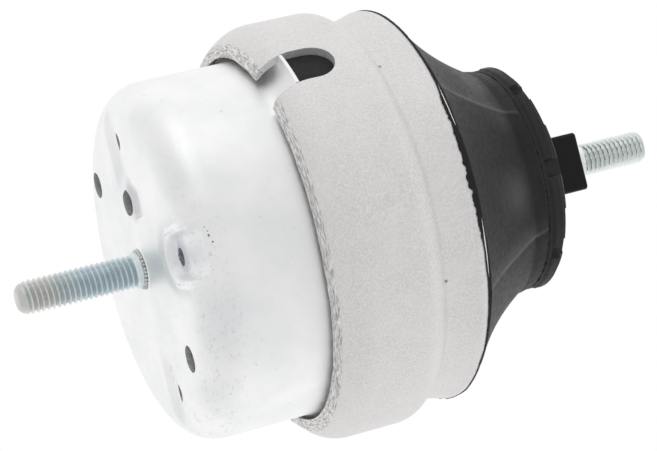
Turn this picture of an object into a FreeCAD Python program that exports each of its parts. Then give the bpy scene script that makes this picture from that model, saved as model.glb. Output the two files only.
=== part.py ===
import FreeCAD, Part
import math
import os

# A hydraulic engine mount, in millimetres. The origin is the centre of the cup's flat base,
# and +Z runs along the axis, from the lower stud to the upper stud.
# Profiles are drawn as (radius, height) and turned about Z.

# Studs, M8 x 1.25
THREAD_R = 3.95
LOWER_STUD_LENGTH = 30.0
UPPER_STUD_LENGTH = 19.2
STUD_CHAMFER = 1.0
KNURL_R = 4.7
KNURL_DROP = 1.7
KNURL_TEETH = 24
KNURL_DEPTH = 0.35
HEAD_R = 10.0
HEAD_THICKNESS = 3.0
HEAD_EDGE = 0.6
SOCKET_DEPTH = 22.0
SHANK_R = 4.4

# Lower cup, deep-drawn from sheet
CUP_R = 41.9
CUP_SHEET = 2.0
CUP_CORNER_R = 9.0
CUP_WALL_TOP = 26.9
FLARE_RISE = 6.5
LIP_REACH = 4.3

# Holes, flutes and locating dimple in the cup's base
TOOLING_HOLE_R = 3.1
TOOLING_INSET = 11.1
TOOLING_ANGLES = (-45.0, 135.0)
PILOT_HOLE_R = 3.0
PILOT_HOLE_X = 15.4
PILOT_HOLE_Y = 1.0
PILOT_PAD_R = 4.2
PILOT_PAD_LENGTH = 7.0
PILOT_PAD_DEPTH = 0.35
VENT_HOLE_R = 2.1
VENT_INSET = 12.6
VENT_HOLE_Y = 5.6
FLUTE_Y = -0.2
FLUTE_LENGTH = 24.9
FLUTE_WIDTH = 12.2
FLUTE_DEPTH = 1.1
DIMPLE_INSET = 12.6
DIMPLE_DEPTH = 2.8
DIMPLE_FLOOR_R = 4.3
DIMPLE_MOUTH_R = 5.5
DIMPLE_HOLE_R = 2.1
DIMPLE_HOLE_SHIFT = 2.0

# Outer sleeve, one rolled tube
LIP_CLEARANCE = 1.1
SLEEVE_WALL = 2.0
CRIMP_BEND_DROP = 2.0
CRIMP_HEIGHT = 7.5
CRIMP_EDGE_WIDTH = 1.9
CRIMP_INSET = 3.0
BARREL_HEIGHT = 10.5
SHOULDER_RISE = 6.0
NECK_DEPTH = 3.85
FUNNEL_INSET = 2.7
FUNNEL_RISE = 7.5
FUNNEL_HOLLOW = 0.38
RIM_INSET = 0.5
RIM_RISE = 4.0
RIM_WIDTH = 1.6
RIM_CROWN = 0.38
SLOT_WIDTH = 10.6
SLOT_DEPTH = 16.0
SLOT_ANGLE = 44.0
TAB_CLEARANCE = 0.2
TAB_INSET = 0.3
TAB_EDGE = 0.9

# Rubber spring, one moulding: skirt, cone and cap
SKIRT_WALL = 2.3
STEP_WIDTH = 4.0
RIM_LAP = 0.5
CONE_RISE = 20.0
CONE_HOLLOW = 1.4
CONE_TOP_R = 27.5
COLLAR_RISE = 3.9
COLLAR_TAPER = 0.8
CAP_OVERHANG = 0.5
CAP_HEIGHT = 5.2
CAP_BEVEL = 1.0
NOTCH_COUNT = 8
NOTCH_WIDTH = 4.2
NOTCH_DEPTH = 1.7
NOTCH_LIFT = 1.0
PAD_WIDTH = 20.0
PAD_HEIGHT = 0.6
PAD_INSET = 0.5
CHAMBER_WALL_HEIGHT = 3.5
CHAMBER_SHOULDER_R = 14.0
CHAMBER_SHOULDER_DROP = 1.0
CHAMBER_CROWN = 2.0
NOSE_SKIN = 3.0

# Cast core with its square key
CORE_CONE_HEIGHT = 17.5
CORE_NOSE_R = 9.0
CORE_NOSE_EDGE = 2.0
CORE_SHOULDER_WALL = 6.0
CORE_SHOULDER_HEIGHT = 4.0
CORE_FLANGE_WALL = 2.7
CORE_FLANGE_THICKNESS = 3.0
CORE_SKIN = 1.1
KEY_SIDE = 14.0
KEY_HEIGHT = 14.6
KEY_EDGE = 1.0

# Nozzle plates with the ring channel, and the membrane between them
LOWER_PLATE_THICKNESS = 5.0
UPPER_PLATE_THICKNESS = 3.0
CHANNEL_INSET = 5.0
CHANNEL_WIDTH = 7.0
CHANNEL_DEPTH = 3.4
CHANNEL_WEB_ANGLE = 24.0
PORT_ANGLE_INSET = 12.0
PORT_R = 2.8
GRILLE_HOLE_R = 3.2
GRILLE_CIRCLE_R = 11.5
GRILLE_COUNT = 6
MEMBRANE_R = 22.0
MEMBRANE_BEAD = 3.0
MEMBRANE_THICKNESS = 1.2
LOWER_POCKET_DEPTH = 2.5
UPPER_POCKET_DEPTH = 1.0

# Bellows, a rolling diaphragm with a bead
BEAD_WIDTH = 4.3
BEAD_THICKNESS = 3.0
BEAD_CLEARANCE = 0.4
BELLOWS_THICKNESS = 1.4
BELLOWS_BRIM_DROP = 3.0
ROLL_R = 5.0
ROLL_CLEARANCE = 2.2
DOME_BEND_R = 4.0
BRIM_BEND_R = 2.5
BRIM_RISE = 3.0

# Radii and heights that follow from the sizes above, from the base up
LIP_R = CUP_R + LIP_REACH
BORE_R = LIP_R + LIP_CLEARANCE
SLEEVE_R = BORE_R + SLEEVE_WALL
NECK_R = SLEEVE_R - NECK_DEPTH
FUNNEL_R = SLEEVE_R - FUNNEL_INSET
RIM_R = FUNNEL_R - RIM_INSET
PLATE_R = BORE_R - SKIRT_WALL
CHANNEL_OUTER_R = PLATE_R - CHANNEL_INSET
CHANNEL_INNER_R = CHANNEL_OUTER_R - CHANNEL_WIDTH
TOOLING_CIRCLE_R = CUP_R - TOOLING_INSET
VENT_HOLE_X = CUP_R - VENT_INSET
FLUTE_START_X = CUP_R - FLUTE_LENGTH
DIMPLE_Y = CUP_R - DIMPLE_INSET
PARTING_R = CONE_TOP_R - COLLAR_TAPER
CAP_R = PARTING_R + CAP_OVERHANG
FLARE_R = (LIP_REACH ** 2 + FLARE_RISE ** 2) / (2.0 * LIP_REACH)
FLARE_CENTRE_R = CUP_R + FLARE_R
LIP_TOP_Z = CUP_WALL_TOP + math.sqrt((FLARE_R + CUP_SHEET) ** 2 - (FLARE_CENTRE_R - LIP_R) ** 2)
SEAT_Z = LIP_TOP_Z + BEAD_THICKNESS
CRIMP_BEND_Z = SEAT_Z - CRIMP_BEND_DROP
CRIMP_EDGE_Z = CRIMP_BEND_Z - CRIMP_HEIGHT
SLOT_END_Z = CRIMP_EDGE_Z + SLOT_DEPTH
LOWER_PLATE_TOP_Z = SEAT_Z + LOWER_PLATE_THICKNESS
UPPER_PLATE_TOP_Z = LOWER_PLATE_TOP_Z + UPPER_PLATE_THICKNESS
SHOULDER_Z = SEAT_Z + BARREL_HEIGHT
NECK_Z = SHOULDER_Z + SHOULDER_RISE
FUNNEL_Z = NECK_Z + FUNNEL_RISE
RIM_Z = FUNNEL_Z + RIM_RISE
CONE_TOP_Z = RIM_Z + CONE_RISE
PARTING_Z = CONE_TOP_Z + COLLAR_RISE
CAP_TOP_Z = PARTING_Z + CAP_HEIGHT
FLANGE_TOP_Z = CAP_TOP_Z - CORE_SKIN
FLANGE_BOTTOM_Z = FLANGE_TOP_Z - CORE_FLANGE_THICKNESS
CORE_SHOULDER_Z = FLANGE_BOTTOM_Z - CORE_SHOULDER_HEIGHT
CORE_BOTTOM_Z = CORE_SHOULDER_Z - CORE_CONE_HEIGHT
CORE_SHOULDER_R = CONE_TOP_R - CORE_SHOULDER_WALL
CORE_FLANGE_R = PARTING_R - CORE_FLANGE_WALL
KEY_TOP_Z = CAP_TOP_Z + KEY_HEIGHT
SOCKET_BOTTOM_Z = KEY_TOP_Z - SOCKET_DEPTH
UPPER_STUD_TIP_Z = KEY_TOP_Z + UPPER_STUD_LENGTH
REACH = 2.0 * BORE_R


def point(radius, height):
    return FreeCAD.Vector(radius, 0.0, height)


def middle_of_arc(start, end, bulge):
    # A positive bulge stands to the left of the way from start to end.
    chord = end - start
    left = FreeCAD.Vector(-chord.z, 0.0, chord.x).normalize()
    return (start + end) * 0.5 + left * bulge


def tangent_bulge(along, across):
    # Bulge of an arc that leaves its start straight along, and ends this far along and across.
    half_chord = math.hypot(along, across) / 2.0
    return half_chord * math.tan(math.atan2(across, along) / 2.0)


def quarter(radius):
    return tangent_bulge(radius, radius)


def outline(start, *steps):
    # Each step is (radius, height) for a line, or (radius, height, bulge) for an arc.
    edges = []
    here = point(*start)
    for step in steps:
        there = point(step[0], step[1])
        if len(step) == 3:
            middle = middle_of_arc(here, there, step[2])
            edges.append(Part.Arc(here, middle, there).toShape())
        else:
            edges.append(Part.makeLine(here, there))
        here = there
    edges.append(Part.makeLine(here, point(*start)))
    return Part.Wire(edges)


def turned(wire):
    axis = FreeCAD.Vector(0, 0, 1)
    return Part.Face(wire).revolve(FreeCAD.Vector(0, 0, 0), axis, 360)


def cylinder(radius, bottom, top, x=0.0, y=0.0):
    return Part.makeCylinder(radius, top - bottom, FreeCAD.Vector(x, y, bottom))


def turn(shape, degrees):
    copy = shape.copy()
    copy.rotate(FreeCAD.Vector(0, 0, 0), FreeCAD.Vector(0, 0, 1), degrees)
    return copy


# Lower cup

def lip_height(radius, sheet):
    # Height of the flared lip: sheet 0 gives its underside, CUP_SHEET its upper side.
    sweep = FLARE_R + sheet
    return CUP_WALL_TOP + math.sqrt(sweep * sweep - (FLARE_CENTRE_R - radius) ** 2)


def cup_form(sheet):
    # The solid inside the cup's outer skin, or inside its inner skin when sheet is its thickness.
    wall_r = CUP_R - sheet
    corner = CUP_CORNER_R - sheet
    lip_z = lip_height(LIP_R, sheet)
    top_z = LIP_TOP_Z + CUP_SHEET
    return turned(outline(
        (0.0, sheet),
        (wall_r - corner, sheet),
        (wall_r, CUP_CORNER_R, -quarter(corner)),
        (wall_r, CUP_WALL_TOP),
        (LIP_R, lip_z, tangent_bulge(lip_z - CUP_WALL_TOP, LIP_R - wall_r)),
        (LIP_R, top_z),
        (0.0, top_z),
    ))


def flute_tool(side, sheet):
    # Shallow V channel from the middle of the base out through the corner.
    slope = FLUTE_DEPTH / (FLUTE_WIDTH / 2.0)
    bottom_z = FLUTE_DEPTH + sheet * math.hypot(1.0, slope)
    rise = bottom_z + CUP_SHEET
    half = rise / slope
    start_x = side * (FLUTE_START_X + FLUTE_WIDTH / 2.0)
    end = Part.makeCone(half, 0.0, rise, FreeCAD.Vector(start_x, FLUTE_Y, -CUP_SHEET))
    corners = [
        FreeCAD.Vector(start_x, FLUTE_Y - half, -CUP_SHEET),
        FreeCAD.Vector(start_x, FLUTE_Y + half, -CUP_SHEET),
        FreeCAD.Vector(start_x, FLUTE_Y, bottom_z),
    ]
    section = Part.Face(Part.makePolygon(corners + corners[:1]))
    return end.fuse(section.extrude(FreeCAD.Vector(side * REACH, 0, 0)))


def dimple_tool(sheet):
    # Drafted pocket that runs out through the corner of the cup.
    slope = (DIMPLE_MOUTH_R - DIMPLE_FLOOR_R) / DIMPLE_DEPTH
    floor_z = DIMPLE_DEPTH + sheet
    floor_r = DIMPLE_FLOOR_R + sheet * (math.hypot(1.0, slope) - slope)
    mouth_z = -CUP_SHEET
    mouth_r = floor_r + slope * (floor_z - mouth_z)
    pocket = Part.makeCone(mouth_r, floor_r, floor_z - mouth_z, FreeCAD.Vector(0, DIMPLE_Y, mouth_z))
    corners = [
        FreeCAD.Vector(-mouth_r, DIMPLE_Y, mouth_z),
        FreeCAD.Vector(mouth_r, DIMPLE_Y, mouth_z),
        FreeCAD.Vector(floor_r, DIMPLE_Y, floor_z),
        FreeCAD.Vector(-floor_r, DIMPLE_Y, floor_z),
    ]
    section = Part.Face(Part.makePolygon(corners + corners[:1]))
    return pocket.fuse(section.extrude(FreeCAD.Vector(0, CUP_R, 0)))


def base_holes():
    top = CUP_SHEET + DIMPLE_DEPTH + CUP_CORNER_R
    holes = [cylinder(KNURL_R, -CUP_SHEET, top)]
    for angle in TOOLING_ANGLES:
        x = TOOLING_CIRCLE_R * math.cos(math.radians(angle))
        y = TOOLING_CIRCLE_R * math.sin(math.radians(angle))
        holes.append(cylinder(TOOLING_HOLE_R, -CUP_SHEET, top, x, y))
    for side in (-1, 1):
        holes.append(cylinder(VENT_HOLE_R, -CUP_SHEET, top, side * VENT_HOLE_X, VENT_HOLE_Y))
    holes.append(cylinder(PILOT_HOLE_R, -CUP_SHEET, top, PILOT_HOLE_X, PILOT_HOLE_Y))
    holes.append(pilot_pad())
    holes.append(cylinder(DIMPLE_HOLE_R, -CUP_SHEET, top, 0.0, DIMPLE_Y - DIMPLE_HOLE_SHIFT))
    return holes


def pilot_pad():
    # Slightly sunk oblong flat that starts round the pilot hole.
    depth = CUP_SHEET + PILOT_PAD_DEPTH
    corner = FreeCAD.Vector(PILOT_HOLE_X - PILOT_PAD_R, PILOT_HOLE_Y, -CUP_SHEET)
    flat = Part.makeBox(2.0 * PILOT_PAD_R, PILOT_PAD_LENGTH, depth, corner)
    ends = [
        cylinder(PILOT_PAD_R, -CUP_SHEET, PILOT_PAD_DEPTH, PILOT_HOLE_X, PILOT_HOLE_Y + shift)
        for shift in (0.0, PILOT_PAD_LENGTH)
    ]
    return flat.fuse(ends)


def lip_tab():
    # Tongue of the lip that stands in the slot of the sleeve and keys the two together.
    tip_r = SLEEVE_R - TAB_INSET
    root_z = lip_height(LIP_R, 0.0)
    tip_z = lip_height(tip_r, 0.0)
    half_chord = math.hypot(tip_r - LIP_R, tip_z - root_z) / 2.0
    ring = turned(outline(
        (LIP_R, root_z),
        (tip_r, tip_z, FLARE_R - math.sqrt(FLARE_R ** 2 - half_chord ** 2)),
        (tip_r, tip_z + TAB_EDGE),
        (BORE_R, LIP_TOP_Z),
        (LIP_R, LIP_TOP_Z),
    ))
    width = SLOT_WIDTH - 2.0 * TAB_CLEARANCE
    reach = Part.makeBox(REACH, width, LIP_TOP_Z, FreeCAD.Vector(0, -width / 2.0, CUP_SHEET))
    return ring.common(turn(reach, SLOT_ANGLE))


def lower_cup():
    # The pressed forms keep the sheet's thickness, so each one shows inside the cup too.
    skin = cup_form(0.0)
    hollow = cup_form(CUP_SHEET)
    for side in (-1, 1):
        skin = skin.cut(flute_tool(side, 0.0))
        hollow = hollow.cut(flute_tool(side, CUP_SHEET))
    skin = skin.cut(dimple_tool(0.0))
    hollow = hollow.cut(dimple_tool(CUP_SHEET))
    return skin.cut(hollow).cut(base_holes()).fuse(lip_tab()).removeSplitter()


def knurl_groove():
    # One V groove of the knurl, along the collar.
    half = math.pi * KNURL_R / KNURL_TEETH * 0.5
    corners = [
        FreeCAD.Vector(KNURL_R - KNURL_DEPTH, 0, -KNURL_DROP),
        FreeCAD.Vector(KNURL_R + KNURL_DEPTH, half * 2.0, -KNURL_DROP),
        FreeCAD.Vector(KNURL_R + KNURL_DEPTH, -half * 2.0, -KNURL_DROP),
    ]
    section = Part.Face(Part.makePolygon(corners + corners[:1]))
    return section.extrude(FreeCAD.Vector(0, 0, KNURL_DROP + CUP_SHEET))


def lower_stud():
    # Press-in stud: head inside the cup, knurl through the sheet, thread below.
    head_top = CUP_SHEET + HEAD_THICKNESS
    stud = turned(outline(
        (0.0, -LOWER_STUD_LENGTH),
        (THREAD_R - STUD_CHAMFER, -LOWER_STUD_LENGTH),
        (THREAD_R, -LOWER_STUD_LENGTH + STUD_CHAMFER),
        (THREAD_R, -KNURL_DROP),
        (KNURL_R, -KNURL_DROP),
        (KNURL_R, CUP_SHEET),
        (HEAD_R, CUP_SHEET),
        (HEAD_R, head_top - HEAD_EDGE),
        (HEAD_R - HEAD_EDGE, head_top),
        (0.0, head_top),
    ))
    groove = knurl_groove()
    pitch = 360.0 / KNURL_TEETH
    return stud.cut([turn(groove, pitch * index) for index in range(KNURL_TEETH)])


# Outer sleeve

def bore_steps():
    # Inner side of the sleeve, from the barrel up to the rim.
    return [
        (BORE_R, SHOULDER_Z),
        (NECK_R - SLEEVE_WALL, NECK_Z, -tangent_bulge(SHOULDER_RISE, NECK_DEPTH)),
        (FUNNEL_R - SLEEVE_WALL, FUNNEL_Z),
        (RIM_R - RIM_WIDTH, RIM_Z),
    ]


def outer_sleeve():
    edge_inner_r = BORE_R - CRIMP_INSET
    edge_outer_r = edge_inner_r + CRIMP_EDGE_WIDTH
    wall = turned(outline(
        (edge_inner_r, CRIMP_EDGE_Z),
        (BORE_R, CRIMP_BEND_Z, -tangent_bulge(CRIMP_HEIGHT, CRIMP_INSET)),
        *bore_steps(),
        (RIM_R, RIM_Z),
        (FUNNEL_R, FUNNEL_Z, RIM_CROWN),
        (NECK_R, NECK_Z, -FUNNEL_HOLLOW),
        (SLEEVE_R, SHOULDER_Z, tangent_bulge(SHOULDER_RISE, NECK_DEPTH)),
        (SLEEVE_R, CRIMP_BEND_Z),
        (edge_outer_r, CRIMP_EDGE_Z, tangent_bulge(CRIMP_HEIGHT, SLEEVE_R - edge_outer_r)),
    ))
    return wall.cut(crimp_slot())


def crimp_slot():
    # U-shaped slot, open at the crimped edge, with parallel sides and a round end.
    half = SLOT_WIDTH / 2.0
    round_z = SLOT_END_Z - half
    low = CRIMP_EDGE_Z - CUP_SHEET
    start_x = CUP_R
    sides = Part.makeBox(REACH, SLOT_WIDTH, round_z - low, FreeCAD.Vector(start_x, -half, low))
    end = Part.makeCylinder(half, REACH, FreeCAD.Vector(start_x, 0, round_z), FreeCAD.Vector(1, 0, 0))
    return turn(sides.fuse(end), SLOT_ANGLE)


# Core and upper stud

def key_block():
    half = KEY_SIDE / 2.0
    corner = FreeCAD.Vector(-half, -half, FLANGE_BOTTOM_Z)
    block = Part.makeBox(KEY_SIDE, KEY_SIDE, KEY_TOP_Z - FLANGE_BOTTOM_Z, corner)
    upright = [edge for edge in block.Edges if edge.BoundBox.ZLength > KEY_SIDE * 0.5]
    block = block.makeFillet(KEY_EDGE, upright)
    top = [edge for edge in block.Edges if edge.BoundBox.ZMin > KEY_TOP_Z - KEY_EDGE * 0.5]
    return block.makeFillet(KEY_EDGE * 0.6, top)


def core():
    casting = turned(outline(
        (0.0, CORE_BOTTOM_Z),
        (CORE_NOSE_R - CORE_NOSE_EDGE, CORE_BOTTOM_Z),
        (CORE_NOSE_R, CORE_BOTTOM_Z + CORE_NOSE_EDGE, -quarter(CORE_NOSE_EDGE)),
        (CORE_SHOULDER_R, CORE_SHOULDER_Z),
        (CORE_SHOULDER_R, FLANGE_BOTTOM_Z),
        (CORE_FLANGE_R, FLANGE_BOTTOM_Z),
        (CORE_FLANGE_R, FLANGE_TOP_Z),
        (0.0, FLANGE_TOP_Z),
    ))
    casting = casting.fuse(key_block()).removeSplitter()
    return casting.cut(cylinder(SHANK_R, SOCKET_BOTTOM_Z, KEY_TOP_Z + KEY_EDGE))


def upper_stud():
    # The thicker shank is pressed in the core, flush with the key's top.
    tip = UPPER_STUD_TIP_Z
    return turned(outline(
        (0.0, SOCKET_BOTTOM_Z),
        (SHANK_R, SOCKET_BOTTOM_Z),
        (SHANK_R, KEY_TOP_Z),
        (THREAD_R, KEY_TOP_Z),
        (THREAD_R, tip - STUD_CHAMFER),
        (THREAD_R - STUD_CHAMFER, tip),
        (0.0, tip),
    ))


# Rubber spring

def cap_notches():
    # Pockets left by the pins that centre the core's flange in the mould.
    bottom = PARTING_Z + NOTCH_LIFT
    corner = FreeCAD.Vector(CAP_R - NOTCH_DEPTH, -NOTCH_WIDTH / 2.0, bottom)
    notch = Part.makeBox(NOTCH_DEPTH * 2.0, NOTCH_WIDTH, CAP_HEIGHT, corner)
    pitch = 360.0 / NOTCH_COUNT
    return [turn(notch, pitch * index) for index in range(NOTCH_COUNT)]


def cap_pads():
    # Low stop pads on the cap, one on each side of the key.
    half = PAD_WIDTH / 2.0
    bar = Part.makeBox(PAD_WIDTH, 2.0 * CAP_R, CORE_SKIN + PAD_HEIGHT,
                       FreeCAD.Vector(-half, -CAP_R, CAP_TOP_Z - CORE_SKIN))
    disc = cylinder(CAP_R - CAP_BEVEL - PAD_INSET, CAP_TOP_Z - CORE_SKIN, CAP_TOP_Z + PAD_HEIGHT)
    return bar.common(disc)


def rubber_spring():
    step_r = PLATE_R - STEP_WIDTH
    roof_z = CORE_BOTTOM_Z - NOSE_SKIN
    body = turned(outline(
        (0.0, roof_z),
        (CHAMBER_SHOULDER_R, roof_z - CHAMBER_SHOULDER_DROP),
        (step_r, UPPER_PLATE_TOP_Z + CHAMBER_WALL_HEIGHT, CHAMBER_CROWN),
        (step_r, UPPER_PLATE_TOP_Z),
        (PLATE_R, UPPER_PLATE_TOP_Z),
        (PLATE_R, SEAT_Z),
        (BORE_R, SEAT_Z),
        *bore_steps(),
        (RIM_R, RIM_Z),
        (RIM_R, RIM_Z + RIM_LAP),
        (CONE_TOP_R, CONE_TOP_Z, CONE_HOLLOW),
        (PARTING_R, PARTING_Z),
        (CAP_R, PARTING_Z + CAP_BEVEL),
        (CAP_R, CAP_TOP_Z - CAP_BEVEL),
        (CAP_R - CAP_BEVEL, CAP_TOP_Z),
        (0.0, CAP_TOP_Z),
    ))
    body = body.cut(cap_notches()).fuse(cap_pads()).removeSplitter()
    return body.cut([core(), upper_stud()])


# Nozzle plates and membrane

def grille(bottom, top):
    # Holes that let the fluid press on the membrane.
    holes = [cylinder(GRILLE_HOLE_R, bottom, top)]
    for index in range(GRILLE_COUNT):
        hole = cylinder(GRILLE_HOLE_R, bottom, top, GRILLE_CIRCLE_R)
        holes.append(turn(hole, 360.0 / GRILLE_COUNT * index))
    return holes


def port(degrees, bottom, top):
    middle_r = CHANNEL_INNER_R + CHANNEL_WIDTH / 2.0
    return turn(cylinder(PORT_R, bottom, top, middle_r), degrees)


def lower_nozzle_plate():
    # Disc with the ring channel in its top face; a web closes the ring between the two ports.
    bottom, top = SEAT_Z, LOWER_PLATE_TOP_Z
    plate = cylinder(PLATE_R, bottom, top)
    floor_z = top - CHANNEL_DEPTH
    half_web = CHANNEL_WEB_ANGLE / 2.0
    section = outline(
        (CHANNEL_INNER_R, floor_z),
        (CHANNEL_OUTER_R, floor_z),
        (CHANNEL_OUTER_R, top),
        (CHANNEL_INNER_R, top),
    )
    axis = FreeCAD.Vector(0, 0, 1)
    channel = Part.Face(section).revolve(FreeCAD.Vector(0, 0, 0), axis, 360.0 - CHANNEL_WEB_ANGLE)
    plate = plate.cut(turn(channel, half_web))
    plate = plate.cut(cylinder(MEMBRANE_R, top - LOWER_POCKET_DEPTH, top))
    plate = plate.cut(port(half_web + PORT_ANGLE_INSET, bottom, floor_z))
    return plate.cut(grille(bottom, top - LOWER_POCKET_DEPTH))


def upper_nozzle_plate():
    bottom, top = LOWER_PLATE_TOP_Z, UPPER_PLATE_TOP_Z
    plate = cylinder(PLATE_R, bottom, top)
    plate = plate.cut(cylinder(MEMBRANE_R, bottom, bottom + UPPER_POCKET_DEPTH))
    plate = plate.cut(port(-CHANNEL_WEB_ANGLE / 2.0 - PORT_ANGLE_INSET, bottom, top))
    return plate.cut(grille(bottom + UPPER_POCKET_DEPTH, top))


def decoupler_membrane():
    # Rubber disc, clamped at its bead and free to flex in the middle.
    bottom = LOWER_PLATE_TOP_Z - LOWER_POCKET_DEPTH
    top = LOWER_PLATE_TOP_Z + UPPER_POCKET_DEPTH
    middle_z = (bottom + top) / 2.0
    half = MEMBRANE_THICKNESS / 2.0
    inner_r = MEMBRANE_R - MEMBRANE_BEAD
    return turned(outline(
        (0.0, middle_z - half),
        (inner_r, middle_z - half),
        (inner_r, bottom),
        (MEMBRANE_R, bottom),
        (MEMBRANE_R, top),
        (inner_r, top),
        (inner_r, middle_z + half),
        (0.0, middle_z + half),
    ))


# Bellows

def bellows():
    half = BELLOWS_THICKNESS / 2.0
    bead_outer_r = BORE_R - BEAD_CLEARANCE
    bead_inner_r = bead_outer_r - BEAD_WIDTH
    seat_sweep = FLARE_R + CUP_SHEET
    seat_chord = math.hypot(LIP_R - bead_inner_r, LIP_TOP_Z - lip_height(bead_inner_r, CUP_SHEET))
    seat_bulge = seat_sweep - math.sqrt(seat_sweep ** 2 - (seat_chord / 2.0) ** 2)
    roll_out = CUP_R - CUP_SHEET - ROLL_CLEARANCE - half
    roll_r = roll_out - ROLL_R
    roll_in = roll_r - ROLL_R
    brim_r = roll_out + BRIM_BEND_R
    brim_z = SEAT_Z - BELLOWS_BRIM_DROP
    brim_low_z = brim_z - BRIM_BEND_R
    roll_z = brim_low_z - BRIM_RISE
    dome_r = roll_in - DOME_BEND_R
    dome_z = roll_z + DOME_BEND_R
    lower_roll_z = roll_z - ROLL_R
    return turned(outline(
        (bead_outer_r, SEAT_Z),
        (bead_outer_r, LIP_TOP_Z),
        (LIP_R, LIP_TOP_Z),
        (bead_inner_r, lip_height(bead_inner_r, CUP_SHEET), -seat_bulge),
        (bead_inner_r, brim_z - half),
        (brim_r, brim_z - half),
        (roll_out + half, brim_low_z, -quarter(BRIM_BEND_R - half)),
        (roll_out + half, roll_z),
        (roll_r, lower_roll_z - half, quarter(ROLL_R + half)),
        (roll_in - half, roll_z, quarter(ROLL_R + half)),
        (dome_r, dome_z - half, -quarter(DOME_BEND_R - half)),
        (0.0, dome_z - half),
        (0.0, dome_z + half),
        (dome_r, dome_z + half),
        (roll_in + half, roll_z, quarter(DOME_BEND_R + half)),
        (roll_r, lower_roll_z + half, -quarter(ROLL_R - half)),
        (roll_out - half, roll_z, -quarter(ROLL_R - half)),
        (roll_out - half, brim_low_z),
        (brim_r, brim_z + half, quarter(BRIM_BEND_R + half)),
        (bead_inner_r, brim_z + half),
        (bead_inner_r, SEAT_Z),
    ))


PIECES = {
    "outer_sleeve": outer_sleeve,
    "lower_cup": lower_cup,
    "lower_stud": lower_stud,
    "rubber_spring": rubber_spring,
    "core": core,
    "upper_stud": upper_stud,
    "upper_nozzle_plate": upper_nozzle_plate,
    "lower_nozzle_plate": lower_nozzle_plate,
    "decoupler_membrane": decoupler_membrane,
    "bellows": bellows,
}

os.makedirs("parts", exist_ok=True)
for name, make in PIECES.items():
    shape = make()
    shape.exportStep(f"parts/{name}.step")
    print(name, "solids", len(shape.Solids), "valid", shape.isValid(), "volume", round(shape.Volume))
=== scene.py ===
# %% [markdown]
# # A hydraulic engine mount
# The mount is a drawn cup, crimped into a rolled sleeve, with a rubber cone bonded in its far end and a
# threaded stud at each end. The solids come from the CAD frame. Here every surface that shows gets its
# real form and finish. The frame is loaded first, because each piece takes its place from it.

# %% Load the frame
import bmesh
import bpy
import math
import numpy as np
from mathutils import Matrix, Vector


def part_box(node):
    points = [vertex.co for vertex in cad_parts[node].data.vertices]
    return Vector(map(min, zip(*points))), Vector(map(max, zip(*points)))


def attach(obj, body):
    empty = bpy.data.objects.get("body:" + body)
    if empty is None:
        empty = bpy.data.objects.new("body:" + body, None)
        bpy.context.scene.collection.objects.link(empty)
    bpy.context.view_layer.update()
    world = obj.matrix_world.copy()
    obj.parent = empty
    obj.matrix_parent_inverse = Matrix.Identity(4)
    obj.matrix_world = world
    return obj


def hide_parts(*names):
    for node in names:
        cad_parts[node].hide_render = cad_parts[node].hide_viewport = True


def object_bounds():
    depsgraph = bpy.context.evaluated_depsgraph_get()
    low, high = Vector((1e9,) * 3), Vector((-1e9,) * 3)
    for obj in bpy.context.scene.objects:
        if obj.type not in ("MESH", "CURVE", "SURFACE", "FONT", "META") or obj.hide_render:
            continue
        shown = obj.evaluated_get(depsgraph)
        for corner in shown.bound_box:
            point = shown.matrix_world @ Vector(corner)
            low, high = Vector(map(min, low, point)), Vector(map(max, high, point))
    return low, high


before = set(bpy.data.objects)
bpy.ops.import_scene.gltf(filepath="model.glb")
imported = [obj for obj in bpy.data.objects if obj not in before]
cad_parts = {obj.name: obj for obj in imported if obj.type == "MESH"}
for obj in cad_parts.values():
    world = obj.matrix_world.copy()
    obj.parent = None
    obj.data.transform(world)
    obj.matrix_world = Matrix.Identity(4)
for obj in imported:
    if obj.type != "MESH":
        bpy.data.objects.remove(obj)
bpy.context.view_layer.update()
print("frame nodes:", sorted(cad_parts))

# %% [markdown]
# ## Millimetres
# Blender works in metres and the mount is drawn in millimetres, so one factor turns one into the other.
# Heights are measured along the axis from the cup's flat base, and radii from the axis. A new object is
# part of the scene only when it is linked to a collection, so one function does both.

# %% Units and main sizes
MM = 0.001
PITCH = 1.25
THREAD_R = 3.95
CUP_R = 41.9
SHEET = 2.0
BORE_R = 47.3
SLEEVE_R = 49.3
base_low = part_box("lower_stud")[0][2] / MM
key_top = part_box("core")[1][2] / MM
print(f"stud tip at {base_low:.1f} mm, key top at {key_top:.1f} mm")


def add_object(name, data):
    added = bpy.data.objects.new(name, data)
    bpy.context.collection.objects.link(added)
    return added


# %% [markdown]
# ## The camera
# A photograph of a round object fixes the camera well: the circles' ellipses give the tilt and the
# change of their size gives the distance. The camera stands a little below the cup's base and looks
# up along the side of the mount, and it is rolled so that the axis runs across the picture.

# %% Camera
CAMERA_PLACE = Vector((-0.55, 540.93, -138.93)) * MM
CAMERA_RIGHT = Vector((-0.2407, 0.3142, 0.9183)).normalized()
CAMERA_UP = Vector((0.9706, 0.0779, 0.2278)).normalized()
FOCAL_PIXELS = 2439.5
PHOTO_WIDTH = 657
SENSOR_MM = 36.0

camera_data = bpy.data.cameras.new("photo_camera")
camera_data.sensor_width = SENSOR_MM
camera_data.sensor_fit = "HORIZONTAL"
camera_data.lens = FOCAL_PIXELS * SENSOR_MM / PHOTO_WIDTH
camera = add_object("photo_camera", camera_data)
backwards = CAMERA_RIGHT.cross(CAMERA_UP).normalized()
true_up = backwards.cross(CAMERA_RIGHT)
camera.matrix_world = Matrix.Translation(CAMERA_PLACE) @ Matrix(
    (CAMERA_RIGHT, true_up, backwards)).transposed().to_4x4()
bpy.context.scene.camera = camera
print(f"lens {camera_data.lens:.1f} mm")

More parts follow.
